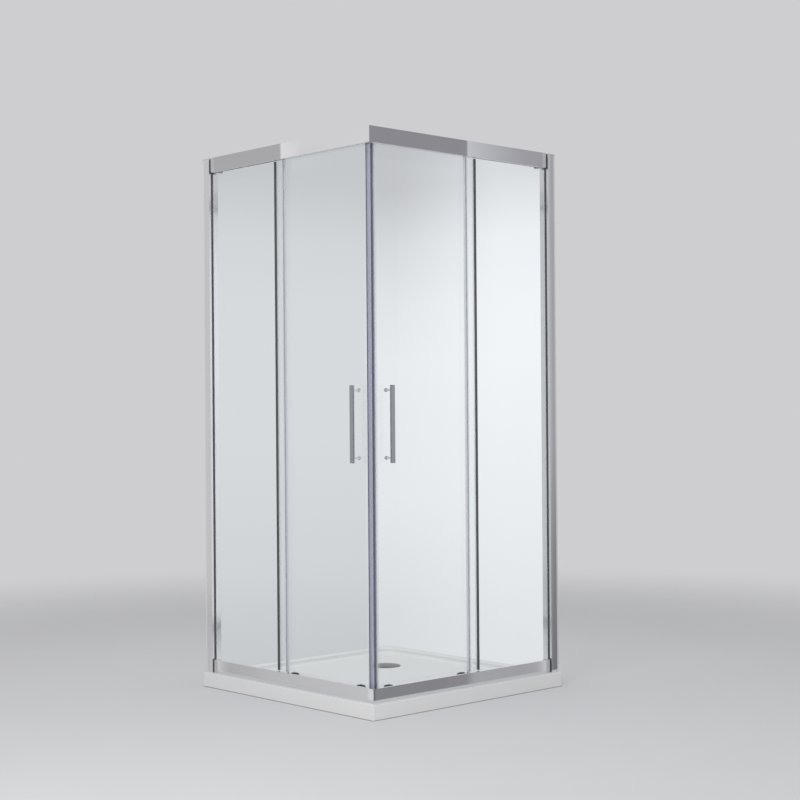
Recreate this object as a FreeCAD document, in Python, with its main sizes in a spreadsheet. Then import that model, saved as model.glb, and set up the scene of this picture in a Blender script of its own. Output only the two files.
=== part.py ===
import FreeCAD, Part
import os
from types import SimpleNamespace

import Sketcher
from FreeCAD import Placement, Rotation, Vector

# Corner-entry shower enclosure: two sliding glass doors that meet at the outer corner of a low
# square tray. Millimetres, +Z up, origin at the centre of the tray's underside.
#
# The room's walls are the planes x = -tray_side/2 and y = +tray_side/2, and the outer corner of the
# frame points to +x, -y. "front" pieces stand along the -y side. Each "side" piece is the mirror
# image of a front piece in the vertical plane x = -y through that corner.
#
# A place on the front side is given as (s, n, z): s runs along the side from the frame's outer
# corner towards the wall, n runs inwards from the frame's outer face, and z is the height.

# Driving dimensions: name, value, meaning.
DIMENSIONS = [
    ("tray_side", 900, "square tray, side length"),
    ("tray_height", 50, "tray, height of the rim"),
    ("tray_inset", 12, "outer face of the frame, distance from the tray's edge"),
    ("tray_rim", 68, "rim of the tray under the doors"),
    ("tray_wall_rim", 30, "rim of the tray along the walls"),
    ("basin_depth", 20, "tray basin, depth at its edge"),
    ("basin_corner", 45, "tray basin, corner radius in plan"),
    ("basin_fall", 3, "fall of the basin floor towards the waste"),
    ("waste_place", 190, "waste, distance from both centre lines of the tray"),
    ("waste_seat_radius", 58, "recess for the waste flange"),
    ("waste_seat_depth", 9, "recess for the waste flange, below the basin's edge"),
    ("waste_hole_radius", 46, "hole through the tray"),
    ("waste_bore_radius", 40, "outlet of the waste flange"),
    ("waste_recess_radius", 76, "recess under the tray for the ring nut"),
    ("waste_recess_height", 12, "recess under the tray for the ring nut"),
    ("total_height", 1880, "top of the frame above the floor"),
    ("header_height", 52, "header profile, height"),
    ("frame_depth", 44, "header and bottom rail, depth"),
    ("frame_skin", 1.8, "wall of the header and bottom rail"),
    ("rail_height", 48, "bottom rail, height of its outer face"),
    ("frame_end", 821, "header and rail profiles end here"),
    ("bracket_end", 839, "end brackets end here"),
    ("post_start", 849, "wall post, edge beside the glass"),
    ("post_width", 30, "wall post, width of its outer face"),
    ("post_depth", 42, "wall post, depth"),
    ("post_skin", 1.5, "wall of the post and of the wall channel"),
    ("channel_reach", 22, "wall channel, depth of its flanges"),
    ("glass", 6, "thickness of every pane"),
    ("fixed_plane", 11, "outer face of the fixed pane, depth n"),
    ("door_plane", 24, "outer face of the door's pane, depth n"),
    ("fixed_edge", 441, "free edge of the fixed pane"),
    ("fixed_hidden_edge", 860, "edge of the fixed pane inside the post"),
    ("door_lead", 40, "leading edge of the door's glass"),
    ("door_rear", 501, "rear edge of the door's glass"),
    ("door_bottom", 60, "lower edge of the door's glass"),
    ("door_top", 1854, "upper edge of the door's glass"),
    ("door_travel", 310, "sliding travel of each door"),
    ("carrier_lead", 96, "leading roller of the door, top and bottom"),
    ("carrier_trail", 430, "trailing roller of the door, top and bottom"),
    ("track_top", 1848, "running face of the roller track in the header"),
    ("top_wheel_radius", 11, "top roller"),
    ("bead_top", 58, "top of the guide bead in the bottom rail"),
    ("guide_wheel_radius", 9, "bottom roller, bottom of its groove"),
    ("wheel_gap", 0.3, "running gap between roller and track"),
    ("axle_radius", 2.5, "roller axle"),
    ("bearing_gap", 0.05, "running fit of a roller on its axle"),
    ("handle_place", 90, "centre of the handle, distance from the corner"),
    ("handle_height", 935, "centre of the handle above the floor"),
    ("handle_length", 250, "handle bar, length"),
    ("handle_width", 16, "handle bar, width"),
    ("handle_thickness", 8, "handle bar, thickness"),
    ("handle_standoff", 22, "clear space between bar and glass"),
    ("handle_post_pitch", 218, "distance between the two handle posts"),
]


class Size:
    """A length that carries its value and the sheet expression that gives it."""

    def __init__(self, value, text):
        self.value = float(value)
        self.text = text

    def __add__(self, other):
        other = as_size(other)
        return Size(self.value + other.value, "(%s + %s)" % (self.text, other.text))

    def __radd__(self, other):
        return as_size(other) + self

    def __sub__(self, other):
        other = as_size(other)
        return Size(self.value - other.value, "(%s - %s)" % (self.text, other.text))

    def __rsub__(self, other):
        return as_size(other) - self

    def __mul__(self, factor):
        return Size(self.value * factor, "(%s * %s)" % (self.text, factor))

    def __truediv__(self, factor):
        return Size(self.value / factor, "(%s / %s)" % (self.text, factor))

    def __neg__(self):
        return Size(-self.value, "(0 - %s)" % self.text)


def as_size(length):
    return length if isinstance(length, Size) else Size(length, "%.4f" % length)


doc = FreeCAD.newDocument("shower_enclosure")
sheet = doc.addObject("Spreadsheet::Sheet", "Sizes")
for row, (name, value, meaning) in enumerate(DIMENSIONS, start=1):
    sheet.set("A%d" % row, name)
    sheet.set("B%d" % row, str(value))
    sheet.set("C%d" % row, meaning)
    sheet.setAlias("B%d" % row, name)
doc.recompute()
d = SimpleNamespace(**{name: Size(value, "Sizes." + name) for name, value, _ in DIMENSIONS})

# Lengths that follow from the driving dimensions.
half = d.tray_side / 2
corner = half - d.tray_inset
wall = corner + half
header_bottom = d.total_height - d.header_height
rail_top = d.tray_height + d.rail_height
post_top = d.total_height - 2
fixed_back = d.fixed_plane + d.glass
door_back = d.door_plane + d.glass
fixed_groove = (d.fixed_plane - 1.6, fixed_back + 1.6)
fixed_pane_top = d.track_top + 18
fixed_pane_bottom = d.tray_height + 6
hanger_bolt_height = d.track_top - 8.5
guide_bolt_height = rail_top - 12
top_axle_height = d.track_top + d.top_wheel_radius + d.wheel_gap
guide_axle_height = d.bead_top + d.guide_wheel_radius + d.wheel_gap
guide_top = rail_top - 1
basin_floor = d.tray_height - d.basin_depth
waste_seat = basin_floor - d.waste_seat_depth
waste_x = -d.waste_place
waste_y = d.waste_place
carriers = (d.carrier_lead, d.carrier_trail)
handle_posts = (d.handle_height - d.handle_post_pitch / 2,
                d.handle_height + d.handle_post_pitch / 2)
channel_screw_heights = (200, 700, 1200, 1700)
post_screw_heights = (250, 950, 1650)
post_screw_place = d.post_start + 23

pieces = []


# ---- building blocks -----------------------------------------------------------------------------

def plan(s, n):
    """World x and y of a place on the front side."""
    return corner - s, n - corner


def keep(piece):
    """Count an object as a piece of the enclosure."""
    pieces.append(piece)


def bind(target, path, size):
    target.setExpression(path, as_size(size).text)


def body_named(name):
    body = doc.addObject("PartDesign::Body", name)
    body.Label = name
    return body


def sketch_on(body, role, height):
    """Empty sketch parallel to one of the body's own origin planes."""
    plane = [part for part in body.Origin.OriginFeatures if part.Role == role][0]
    sketch = body.newObject("Sketcher::SketchObject", body.Name + "_sketch")
    sketch.AttachmentSupport = (plane, "")
    sketch.MapMode = "FlatFace"
    bind(sketch, "AttachmentOffset.Base.z", height)
    return sketch


def hold_point(sketch, geometry, vertex, x, y):
    """Tie one vertex to the sketch origin by two bound distances."""
    for kind, length in (("DistanceX", x), ("DistanceY", y)):
        constraint = Sketcher.Constraint(kind, -1, 1, geometry, vertex, as_size(length).value)
        index = sketch.addConstraint(constraint)
        bind(sketch, "Constraints[%d]" % index, length)


def draw_outline(sketch, points):
    """Closed outline of straight edges through the points."""
    points = [(as_size(x), as_size(y)) for x, y in points]
    first = sketch.GeometryCount
    count = len(points)
    for index, (x, y) in enumerate(points):
        next_x, next_y = points[(index + 1) % count]
        start = Vector(x.value, y.value, 0)
        end = Vector(next_x.value, next_y.value, 0)
        sketch.addGeometry(Part.LineSegment(start, end))
    for index in range(count):
        following = first + (index + 1) % count
        sketch.addConstraint(Sketcher.Constraint("Coincident", first + index, 2, following, 1))
    for index, (x, y) in enumerate(points):
        hold_point(sketch, first + index, 1, x, y)


def draw_circle(sketch, x, y, radius):
    x, y, radius = as_size(x), as_size(y), as_size(radius)
    circle = Part.Circle(Vector(x.value, y.value, 0), Vector(0, 0, 1), radius.value)
    geometry = sketch.addGeometry(circle)
    hold_point(sketch, geometry, 3, x, y)
    index = sketch.addConstraint(Sketcher.Constraint("Radius", geometry, radius.value))
    bind(sketch, "Constraints[%d]" % index, radius)


def feature(body, kind, sketch, length, symmetric=False):
    """Pad or pocket of a sketch. A symmetric one is as deep on both sides of the sketch."""
    made = body.newObject("PartDesign::" + kind, body.Name + "_" + kind.lower())
    made.Profile = sketch
    bind(made, "Length", length)
    if symmetric:
        made.SideType = "Symmetric"
    sketch.Visibility = False


def upright(name, outlines, bottom, top):
    """Vertical extrusion of outlines given as (s, n): the first is the edge, the rest are holes."""
    body = body_named(name)
    sketch = sketch_on(body, "XY_Plane", bottom)
    for outline in outlines:
        draw_outline(sketch, [plan(s, n) for s, n in outline])
    feature(body, "Pad", sketch, top - bottom)
    return body


def lengthwise(name, section, start, end):
    """Extrusion along the front side, from s = start to s = end, of a section given as (n, z)."""
    body = body_named(name)
    sketch = sketch_on(body, "YZ_Plane", corner - end)
    draw_outline(sketch, [(n - corner, z) for n, z in section])
    feature(body, "Pad", sketch, end - start)
    return body


def crosswise(name, outline, start, end):
    """Extrusion inwards, from n = start to n = end, of an outline given as (s, z)."""
    body = body_named(name)
    sketch = sketch_on(body, "XZ_Plane", corner - end)
    draw_outline(sketch, [(corner - s, z) for s, z in outline])
    feature(body, "Pad", sketch, end - start)
    return body


def drill(body, depth, thickness, holes):
    """Round holes through a wall that faces n, given as (s, z, radius)."""
    sketch = sketch_on(body, "XZ_Plane", corner - depth)
    for s, z, radius in holes:
        draw_circle(sketch, corner - s, z, radius)
    before = volume(body)
    feature(body, "Pocket", sketch, thickness, symmetric=True)
    if volume(body) >= before:
        raise RuntimeError("holes in %s cut nothing" % body.Label)


def volume(part):
    doc.recompute()
    return part.Shape.Volume


def rectangle(low_x, high_x, low_y, high_y):
    return [(low_x, low_y), (high_x, low_y), (high_x, high_y), (low_x, high_y)]


def mitre(body, top, height):
    """Cut a lengthwise profile at 45 degrees where it meets its mirror image."""
    reach = d.frame_depth + 1
    sketch = sketch_on(body, "XY_Plane", top)
    draw_outline(sketch, [plan(-1, -1), plan(-1, reach), plan(reach, reach)])
    before = volume(body)
    feature(body, "Pocket", sketch, height)
    if volume(body) >= before:
        raise RuntimeError("mitre of %s cuts nothing" % body.Label)


def revolve(body, sketch):
    """Full turn of a sketch about its own vertical axis."""
    made = body.newObject("PartDesign::Revolution", body.Name + "_revolution")
    made.Profile = sketch
    made.ReferenceAxis = (sketch, ["V_Axis"])
    made.Angle = 360
    sketch.Visibility = False


def turned(name, x, y, outline):
    """Solid of revolution about a vertical line through (x, y), outline given as (radius, z)."""
    body = body_named(name)
    sketch = sketch_on(body, "XZ_Plane", -as_size(y))
    bind(sketch, "AttachmentOffset.Base.x", x)
    draw_outline(sketch, outline)
    revolve(body, sketch)
    return body


def wheel(name, s, height, start, outline):
    """Roller that turns about a line along n, outline given as (radius, distance from start)."""
    body = body_named(name)
    sketch = sketch_on(body, "XY_Plane", height)
    bind(sketch, "AttachmentOffset.Base.x", corner - s)
    draw_outline(sketch, [(radius, start - corner + across) for radius, across in outline])
    revolve(body, sketch)
    return body


def place(part, x, y, z):
    for path, size in (("x", x), ("y", y), ("z", z)):
        bind(part, "Placement.Base." + path, size)


def block(name, s_range, n_range, z_range):
    """Box on the front side between two values each of s, n and z."""
    box = doc.addObject("Part::Box", name)
    for path, (low, high) in (("Length", s_range), ("Width", n_range), ("Height", z_range)):
        bind(box, path, high - low)
    x, y = plan(s_range[1], n_range[0])
    place(box, x, y, z_range[0])
    return box


def rod(name, s, z, radius, n_range):
    """Round bar along n on the front side."""
    bar = doc.addObject("Part::Cylinder", name)
    bar.Placement = Placement(Vector(0, 0, 0), Rotation(Vector(1, 0, 0), -90))
    bind(bar, "Radius", radius)
    bind(bar, "Height", n_range[1] - n_range[0])
    x, y = plan(s, n_range[0])
    place(bar, x, y, z)
    return bar


def stud(name, x, y, radius, z_range):
    """Round bar along z."""
    bar = doc.addObject("Part::Cylinder", name)
    bind(bar, "Radius", radius)
    bind(bar, "Height", z_range[1] - z_range[0])
    place(bar, x, y, z_range[0])
    return bar


def joined(name, parts):
    fused = doc.addObject("Part::MultiFuse", name)
    fused.Shapes = parts
    fused.Refine = True
    return fused


def group(name, parts):
    """Several separate solids of one kind in one piece."""
    compound = doc.addObject("Part::Compound", name)
    compound.Links = parts
    return compound


def cut(name, base, tool):
    made = doc.addObject("Part::Cut", name)
    made.Base = base
    made.Tool = tool
    doc.recompute()
    if made.Shape.Volume >= base.Shape.Volume:
        raise RuntimeError("%s cuts nothing" % name)
    return made


def edges_where(shape, test):
    """Names of the edges whose two ends and middle all pass the test."""
    names = []
    for index, edge in enumerate(shape.Edges, start=1):
        middle = edge.valueAt((edge.FirstParameter + edge.LastParameter) / 2)
        points = [vertex.Point for vertex in edge.Vertexes] + [middle]
        if all(test(point) for point in points):
            names.append("Edge%d" % index)
    return names


def round_edges(body, radius, test):
    """Fillet those edges of a body that pass the test."""
    doc.recompute()
    base = body.Tip
    fillet = body.newObject("PartDesign::Fillet", body.Name + "_fillet")
    fillet.Base = (base, edges_where(base.Shape, test))
    bind(fillet, "Radius", radius)


def near(value, size):
    return abs(value - as_size(size).value) < 0.01


def mirrored(part, name):
    """The same piece on the side of the enclosure that faces +x."""
    image = doc.addObject("Part::Mirroring", name)
    image.Source = part
    image.Base = Vector(0, 0, 0)
    image.Normal = Vector(1, 1, 0)
    return image


def keep_pair(part):
    """Count a front piece and its mirror image as pieces."""
    keep(part)
    keep(mirrored(part, part.Label.replace("front", "side")))


# ---- tray and waste ------------------------------------------------------------------------------

def make_tray():
    """Cast tray: square slab, rounded basin with four falls to the waste, seat and recess for it."""
    tray = body_named("shower_tray")
    outline = sketch_on(tray, "XY_Plane", 0)
    draw_outline(outline, rectangle(-half, half, -half, half))
    feature(tray, "Pad", outline, d.tray_height)

    basin = rectangle(d.tray_wall_rim - half, half - d.tray_rim, d.tray_rim - half, half - d.tray_wall_rim)
    hollow = sketch_on(tray, "XY_Plane", d.tray_height)
    draw_outline(hollow, basin)
    feature(tray, "Pocket", hollow, d.basin_depth)

    def inside(point):
        return abs(point.x) < half.value - 1 and abs(point.y) < half.value - 1

    def at_basin_corner(point):
        return any(near(point.x, x) and near(point.y, y) for x, y in basin)

    round_edges(tray, d.basin_corner, at_basin_corner)
    round_edges(tray, d.basin_depth * 0.6, lambda point: near(point.z, basin_floor))
    round_edges(tray, 6, lambda point: near(point.z, d.tray_height) and inside(point))
    round_edges(tray, 3, lambda point: near(point.x, half) and near(point.y, -half))
    round_edges(tray, 2, lambda point: near(point.z, d.tray_height) and not inside(point))

    margin = d.basin_depth
    high = sketch_on(tray, "XY_Plane", basin_floor)
    draw_outline(high, rectangle(basin[0][0] + margin, basin[1][0] - margin,
                                 basin[0][1] + margin, basin[2][1] - margin))
    low = sketch_on(tray, "XY_Plane", basin_floor - d.basin_fall)
    reach = d.waste_seat_radius
    draw_outline(low, rectangle(waste_x - reach, waste_x + reach, waste_y - reach, waste_y + reach))
    falls = tray.newObject("PartDesign::SubtractiveLoft", "tray_falls")
    falls.Profile = high
    falls.Sections = [low]
    falls.Ruled = True

    for height, radius, depth in (
            (basin_floor, d.waste_seat_radius, d.waste_seat_depth),
            (waste_seat, d.waste_hole_radius, waste_seat)):
        circle = sketch_on(tray, "XY_Plane", height)
        draw_circle(circle, waste_x, waste_y, radius)
        feature(tray, "Pocket", circle, depth)
    recess = sketch_on(tray, "XY_Plane", 0)
    draw_circle(recess, waste_x, waste_y, d.waste_recess_radius)
    feature(tray, "Pocket", recess, d.waste_recess_height * 2, symmetric=True)
    return tray


def make_waste():
    """Flange through the tray, washers above and below it, hexagon ring nut, and loose cover."""
    seal = 1.5
    tail_radius = d.waste_hole_radius - 1.5
    flange_bottom = waste_seat + seal
    flange_top = flange_bottom + 4
    rim_radius = d.waste_seat_radius - 2
    tail_end = 4.5
    peg_circle = 48
    flange = turned("waste_flange_ring", waste_x, waste_y, [
        (d.waste_bore_radius, tail_end), (tail_radius, tail_end), (tail_radius, flange_bottom),
        (rim_radius, flange_bottom), (rim_radius, flange_top - 1), (rim_radius - 1, flange_top),
        (d.waste_bore_radius + 1, flange_top), (d.waste_bore_radius, flange_top - 1)])
    nut_top = d.waste_recess_height - seal
    washers = []
    for number, (low, high, radius) in enumerate((
            (waste_seat, flange_bottom, rim_radius - 1),
            (nut_top, d.waste_recess_height, rim_radius + 4))):
        washers.append(turned("waste_washer_%d" % number, waste_x, waste_y,
                              rectangle(tail_radius, radius, low, high)))

    nut = doc.addObject("Part::Prism", "waste_nut_blank")
    nut.Polygon = 6
    bind(nut, "Circumradius", d.waste_recess_radius - 6)
    bind(nut, "Height", nut_top - tail_end)
    place(nut, waste_x, waste_y, tail_end)
    thread = stud("waste_nut_thread", waste_x, waste_y, tail_radius, (as_size(tail_end), nut_top))

    dome_top = flange_top + 10
    dome_radius = 316.0
    cover_radius = rim_radius
    disc = stud("waste_cover_disc", waste_x, waste_y, cover_radius, (flange_top + 2.5, dome_top))
    ball = doc.addObject("Part::Sphere", "waste_cover_ball")
    ball.Radius = dome_radius
    place(ball, waste_x, waste_y, dome_top - dome_radius)
    dome = doc.addObject("Part::Common", "waste_cover_dome")
    dome.Base = disc
    dome.Tool = ball
    dish = stud("waste_cover_dish", waste_x, waste_y, cover_radius - 2, (flange_top + 1, flange_top + 4.5))
    shell = cut("waste_cover_shell", dome, dish)
    pads = []
    holes = []
    for number, angle in enumerate((90, 210, 330)):
        direction = Rotation(Vector(0, 0, 1), angle).multVec(Vector(1, 0, 0))
        x = waste_x + peg_circle * direction.x
        y = waste_y + peg_circle * direction.y
        pads.append(stud("waste_cover_pad_%d" % number, x, y, 4, (flange_top + 0.3, flange_top + 5)))
        pads.append(stud("waste_cover_peg_%d" % number, x, y, 2.4, (flange_top - 1.5, flange_top + 1)))
        holes.append(stud("waste_peg_hole_%d" % number, x, y, 2.7, (flange_top - 1.8, flange_top + 1)))
    keep(cut("waste_flange", flange, group("waste_peg_holes", holes)))
    keep(group("waste_seals", washers))
    keep(cut("waste_nut", nut, thread))
    keep(joined("waste_cover", [shell] + pads))


# ---- frame ---------------------------------------------------------------------------------------

def make_wall_channel():
    """U-shaped channel screwed to the wall, open towards the post."""
    outer, inner = d.post_skin + 0.5, d.post_depth - d.post_skin - 0.5
    skin = d.post_skin
    mouth = wall - d.channel_reach
    channel = upright("front_wall_channel", [[
        (wall, outer), (wall, inner), (mouth, inner), (mouth, inner - skin), (wall - 2, inner - skin),
        (wall - 2, outer + skin), (mouth, outer + skin), (mouth, outer)]], d.tray_height, post_top)
    back = sketch_on(channel, "YZ_Plane", -half)
    for height in channel_screw_heights:
        draw_circle(back, d.post_depth / 2 - corner, height, 2.75)
    before = volume(channel)
    feature(channel, "Pocket", back, 8, symmetric=True)
    if volume(channel) >= before:
        raise RuntimeError("wall screw holes cut nothing")
    drill(channel, inner - skin / 2, skin * 2,
          [(post_screw_place, height, 2) for height in post_screw_heights])
    return channel


def make_wall_post():
    """Hollow post: two chambers beside the glass slot, and an open back that takes the channel."""
    start = d.post_start
    end = d.post_start + d.post_width
    skin = d.post_skin
    depth = d.post_depth
    slot_low, slot_high = d.fixed_plane - 3.5, fixed_back + 3.5
    web = start + 14
    post = upright("front_wall_post", [
        [(start, 0), (end, 0), (end, skin), (web + 2, skin), (web + 2, depth - skin), (end, depth - skin),
         (end, depth), (start, depth), (start, slot_high), (web, slot_high), (web, slot_low),
         (start, slot_low)],
        rectangle(start + skin, web, skin, slot_low - skin),
        rectangle(start + skin, web, slot_high + skin, depth - skin)], d.tray_height, post_top)
    drill(post, depth - skin / 2, skin * 2,
          [(post_screw_place, height, 2) for height in post_screw_heights])
    return post


def make_post_cap():
    """Flat cap on the post, with a plug in its inner chamber."""
    start = d.post_start
    plate = block("post_cap_plate", (start, wall), (as_size(0), d.post_depth), (post_top, d.total_height))
    chamber = (fixed_back + 3.5 + d.post_skin, d.post_depth - d.post_skin)
    plug = block("post_cap_plug", (start + 2, start + 13), (chamber[0] + 0.3, chamber[1] - 0.3),
                 (post_top - 8, post_top))
    return joined("front_post_cap", [plate, plug])


def make_post_gasket():
    """Black rubber channel round the pane's hidden edge, with a lip that shows beside the post."""
    low, high = d.fixed_plane, fixed_back
    start = d.bracket_end + 2
    post = d.post_start
    bottom_of_slot = post + 13.5
    return upright("front_post_gasket", [[
        (start, low - 7), (post, low - 7), (post, low - 3.5), (bottom_of_slot, low - 3.5),
        (bottom_of_slot, high + 3.5), (start, high + 3.5), (start, high), (d.fixed_hidden_edge, high),
        (d.fixed_hidden_edge, low), (start, low)]], d.tray_height, post_top)


def make_header():
    """Header: open below, groove for the fixed pane, ledge with a lip as roller track."""
    skin, depth = d.frame_skin, d.frame_depth
    bottom, top = header_bottom, d.total_height
    ceiling = top - skin
    low, high = fixed_groove
    rib = 1.4
    rib_end = d.track_top + 4
    track = d.track_top
    lip = depth - 10.2
    header = lengthwise("front_header", [
        (0, bottom), (skin, bottom), (skin, ceiling), (low - rib, ceiling), (low - rib, rib_end),
        (low, rib_end), (low, ceiling), (high, ceiling), (high, rib_end), (high + rib, rib_end),
        (high + rib, ceiling), (depth - skin, ceiling), (depth - skin, track), (lip + 1.2, track),
        (lip + 1.2, track + 1.8), (lip, track + 1.8), (lip, track - 1.6), (depth - skin, track - 1.6),
        (depth - skin, bottom + 6), (depth, bottom + 6), (depth, top), (0, top)], as_size(0), d.frame_end)
    mitre(header, top, d.header_height)
    return header


def make_bottom_rail():
    """Bottom rail: tall outer face with a rolled lip, groove for the pane, bead for the rollers."""
    skin, depth = d.frame_skin, d.frame_depth
    bottom, top = d.tray_height, rail_top
    floor = bottom + skin
    low, high = fixed_groove
    rib = 1.4
    rib_end = bottom + 16
    bead = depth - 9
    rail = lengthwise("front_bottom_rail", [
        (0, bottom), (0, top), (8, top), (8, top - 8), (6.6, top - 8), (6.6, top - 1.6), (skin, top - 1.6),
        (skin, floor), (low - rib, floor), (low - rib, rib_end), (low, rib_end), (low, floor),
        (high, floor), (high, rib_end), (high + rib, rib_end), (high + rib, floor), (bead, floor),
        (bead, d.bead_top), (bead + 2, d.bead_top), (bead + 2, floor), (depth - skin, floor),
        (depth - skin, bottom + 20), (depth, bottom + 20), (depth, bottom)], as_size(0), d.frame_end)
    mitre(rail, top, d.rail_height)
    return rail


def make_header_end():
    """Cap of the header with a rounded lower corner, two plugs in the header, a lug to the post."""
    ends = (d.frame_end, d.bracket_end)
    depth = d.frame_depth
    cap = crosswise("header_cap", rectangle(*ends, header_bottom, d.total_height), as_size(0), depth)
    round_edges(cap, 6, lambda point: near(point.x, corner - d.bracket_end)
                and near(point.z, header_bottom))
    ceiling = d.total_height - d.frame_skin
    parts = [
        cap,
        block("header_plug_outer", (d.frame_end - 15, d.frame_end), (as_size(2.3), as_size(7.5)),
              (ceiling - 24, ceiling - 1)),
        block("header_plug_inner", (d.frame_end - 15, d.frame_end), (fixed_back + 4, fixed_back + 16),
              (ceiling - 21, ceiling - 1)),
        block("header_lug", (d.bracket_end, d.post_start), (fixed_back + 5, d.post_depth),
              (header_bottom + 8, d.total_height - 4))]
    slot = block("header_cap_slot", (d.frame_end - 1, d.bracket_end + 1),
                 (d.fixed_plane - 0.5, fixed_back + 0.5), (header_bottom - 1, fixed_pane_top + 2))
    return cut("front_header_end", joined("header_end_blank", parts), slot)


def make_rail_end():
    """End piece of the bottom rail: tall behind the outer face, low behind it, a lug to the post."""
    ends = (d.frame_end, d.bracket_end)
    low = d.tray_height
    zero = as_size(0)
    parts = [
        block("rail_cap_outer", ends, (zero, fixed_back + 3), (low, rail_top)),
        block("rail_cap_inner", ends, (fixed_back + 3, d.frame_depth), (low, low + 22)),
        block("rail_plug", (d.frame_end - 15, d.frame_end), (as_size(2.3), as_size(7.5)),
              (low + 2.2, low + 16)),
        block("rail_lug", (d.bracket_end, d.post_start), (fixed_back + 5, d.post_depth),
              (low + 2, low + 18))]
    slot = block("rail_cap_slot", (d.frame_end - 1, d.bracket_end + 1),
                 (d.fixed_plane - 0.5, fixed_back + 0.5), (low + 4, rail_top + 1))
    return cut("front_rail_end", joined("rail_end_blank", parts), slot)


def make_cleat(name, bottom, top):
    """Angle that joins two mitred profiles inside their outer chambers."""
    near_face, far_face, reach = 2.0, 7.8, 60.0
    return upright(name, [[(near_face, near_face), (reach, near_face), (reach, far_face),
                           (far_face, far_face), (far_face, reach), (near_face, reach)]], bottom, top)


def make_post_screws():
    """Pan-head screws that lock the post on its channel, from inside the cabin."""
    screws = []
    for number, height in enumerate(post_screw_heights):
        shank = rod("post_screw_shank_%d" % number, post_screw_place, height, 1.9,
                    (d.post_depth - 6, d.post_depth + 1))
        head = rod("post_screw_head_%d" % number, post_screw_place, height, 4,
                   (d.post_depth, d.post_depth + 1.8))
        screws.append(joined("post_screw_%d" % number, [shank, head]))
    return group("front_post_screws", screws)


def make_track_stops():
    """Rubber blocks on the roller track that end the travel each way."""
    gap = 0.5
    closed = d.carrier_lead - d.top_wheel_radius - gap
    opened = d.carrier_trail + d.door_travel + d.top_wheel_radius + gap
    across = (d.frame_depth - 8.4, d.frame_depth - d.frame_skin)
    height = (d.track_top, d.track_top + 14)
    return group("front_track_stops", [
        block("closed_stop", (closed - 12, closed), across, height),
        block("open_stop", (opened, opened + 12), across, height)])


# ---- fixed pane ----------------------------------------------------------------------------------

def make_fixed_glass():
    return upright("front_fixed_glass", [rectangle(d.fixed_edge, d.fixed_hidden_edge, d.fixed_plane,
                                                   fixed_back)], fixed_pane_bottom, fixed_pane_top)


def make_glazing_strips():
    """Soft channels that hold the fixed pane in the grooves of header and rail."""
    low, high = fixed_groove
    face, back = d.fixed_plane, fixed_back
    floor = d.tray_height + d.frame_skin
    strips = []
    for name, mouth, edge, seat in (("upper", d.track_top + 2, fixed_pane_top, fixed_pane_top + 4),
                                    ("lower", d.tray_height + 16, fixed_pane_bottom, floor)):
        section = [(low, mouth), (low, seat), (high, seat), (high, mouth), (back, mouth), (back, edge),
                   (face, edge), (face, mouth)]
        strips.append(lengthwise(name + "_glazing_strip", section, d.fixed_edge, d.frame_end))
    return group("front_glazing_strips", strips)


def make_fixed_seal():
    """Clip-on strip on the free edge of the fixed pane, with a fin towards the door."""
    jaw = 1.4
    edge, face, back = d.fixed_edge, d.fixed_plane, fixed_back
    mouth = edge + 10
    return upright("front_fixed_seal", [[
        (mouth, face - jaw), (edge - jaw, face - jaw), (edge - jaw, d.door_plane - 0.4),
        (edge, d.door_plane - 0.4), (edge, back + jaw), (mouth, back + jaw), (mouth, back), (edge, back),
        (edge, face), (mouth, face)]], rail_top + 1, header_bottom - 1)


# ---- door ----------------------------------------------------------------------------------------

def make_door_glass():
    """Toughened pane with holes for the hangers, the guides and the handle."""
    door = upright("front_door_glass", [rectangle(d.door_lead, d.door_rear, d.door_plane, door_back)],
                   d.door_bottom, d.door_top)
    holes = [(s, height, radius) for s in carriers
             for height, radius in ((hanger_bolt_height, 5), (guide_bolt_height, 4))]
    holes += [(d.handle_place, height, 5) for height in handle_posts]
    drill(door, d.door_plane + d.glass / 2, d.glass + 2, holes)
    return door


def make_magnet_profile():
    """Clip-on closing profile with a 45-degree face and a chamber for the magnet."""
    jaw, gap = 1.4, 0.25
    low, high = d.door_plane - jaw, door_back + jaw
    mouth = d.door_lead + 9
    return upright("front_magnet_profile", [
        [(mouth, low), (low + gap, low), (high + gap, high), (mouth, high), (mouth, door_back),
         (d.door_lead, door_back), (d.door_lead, d.door_plane), (mouth, d.door_plane)],
        magnet_section(gap)], d.door_bottom + 2, d.door_top - 4)


def magnet_section(gap):
    near_face, thickness = gap + 1.0, 4.0
    low, high = d.door_plane + 0.6, door_back - 0.6
    return [(low + near_face, low), (low + near_face + thickness, low),
            (high + near_face + thickness, high), (high + near_face, high)]


def make_magnet_strip():
    return upright("front_magnet_strip", [magnet_section(0.25)], d.door_bottom + 4, d.door_top - 6)


def make_rear_seal():
    """Clip-on strip on the rear edge of the door, with a fin towards the fixed pane."""
    jaw = 1.4
    edge, face, back = d.door_rear, d.door_plane, door_back
    mouth = edge - 8
    return upright("front_rear_seal", [[
        (mouth, face - jaw), (edge, face - jaw), (edge, fixed_back + 0.6), (edge + jaw, fixed_back + 0.6),
        (edge + jaw, back + jaw), (mouth, back + jaw), (mouth, back), (edge, back), (edge, face),
        (mouth, face)]], rail_top + 2, header_bottom - 2)


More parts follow.
